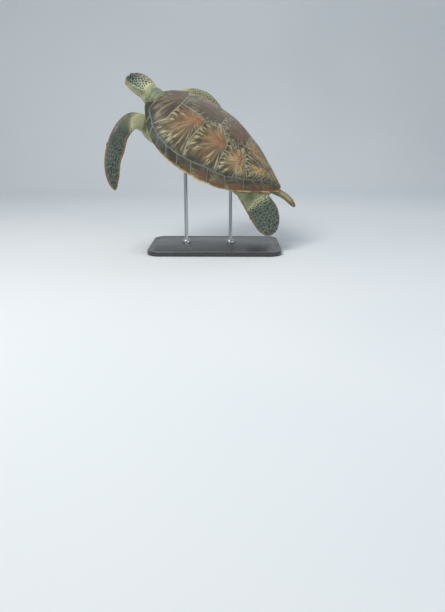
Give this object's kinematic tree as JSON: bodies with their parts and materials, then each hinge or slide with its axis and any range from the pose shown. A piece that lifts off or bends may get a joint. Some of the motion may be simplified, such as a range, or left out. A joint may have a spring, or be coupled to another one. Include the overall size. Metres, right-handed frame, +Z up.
{
  "type": "sea turtle display model",
  "caption": "Life-size green sea turtle model, swimming upward and banked to its left, with a patterned brown shell and dark scaled flippers, held over a flat base by steel rods.",
  "frame": {"origin": "middle of the base's underside, at floor level", "axes": "+Z up; the turtle heads towards -X, its left side faces -Y"},
  "size_m": [0.8146, 0.6992, 0.7694],
  "materials": {
    "shell": "satin olive brown horn with yellow and orange rays",
    "rim_plates": "satin reddish brown horn with a paler edge",
    "belly_plate": "satin pale yellow horn",
    "skin": "scaled skin, dark plates with pale borders",
    "beak": "satin horn",
    "eyes": "glossy glass eye",
    "claws": "satin dark horn",
    "base": "satin black lacquer on board",
    "rods": "brushed"
  },
  "bodies": {
    "root": {"nuchal_plate": "shell", "back_plate_1": "shell", "back_plate_2": "shell", "back_plate_3": "shell", "back_plate_4": "shell", "back_plate_5": "shell", "side_plate_left_1": "shell", "side_plate_left_2": "shell", "side_plate_left_3": "shell", "side_plate_left_4": "shell", "rim_plate_left_01": "rim_plates", "rim_plate_left_02": "rim_plates", "rim_plate_left_03": "rim_plates", "rim_plate_left_04": "rim_plates", "rim_plate_left_05": "rim_plates", "rim_plate_left_06": "rim_plates", "rim_plate_left_07": "rim_plates", "rim_plate_left_08": "rim_plates", "rim_plate_left_09": "rim_plates", "rim_plate_left_10": "rim_plates", "rim_plate_left_11": "rim_plates", "rim_plate_left_12": "rim_plates", "side_plate_right_1": "shell", "side_plate_right_2": "shell", "side_plate_right_3": "shell", "side_plate_right_4": "shell", "rim_plate_right_01": "rim_plates", "rim_plate_right_02": "rim_plates", "rim_plate_right_03": "rim_plates", "rim_plate_right_04": "rim_plates", "rim_plate_right_05": "rim_plates", "rim_plate_right_06": "rim_plates", "rim_plate_right_07": "rim_plates", "rim_plate_right_08": "rim_plates", "rim_plate_right_09": "rim_plates", "rim_plate_right_10": "rim_plates", "rim_plate_right_11": "rim_plates", "rim_plate_right_12": "rim_plates", "plastron": "belly_plate", "trunk": "skin", "neck": "skin", "head": "skin", "jaw_lower": "skin", "beak_upper": "beak", "beak_lower": "beak", "eye_left": "eyes", "eye_right": "eyes", "flipper_front_left": "skin", "claw_front_left": "claws", "flipper_front_right": "skin", "claw_front_right": "claws", "flipper_hind_left": "skin", "claw_hind_left": "claws", "flipper_hind_right": "skin", "claw_hind_right": "claws", "tail": "skin", "stand_rod_front": "rods", "stand_rod_rear": "rods", "stand_base": "base"}
  },
  "joints": []
}
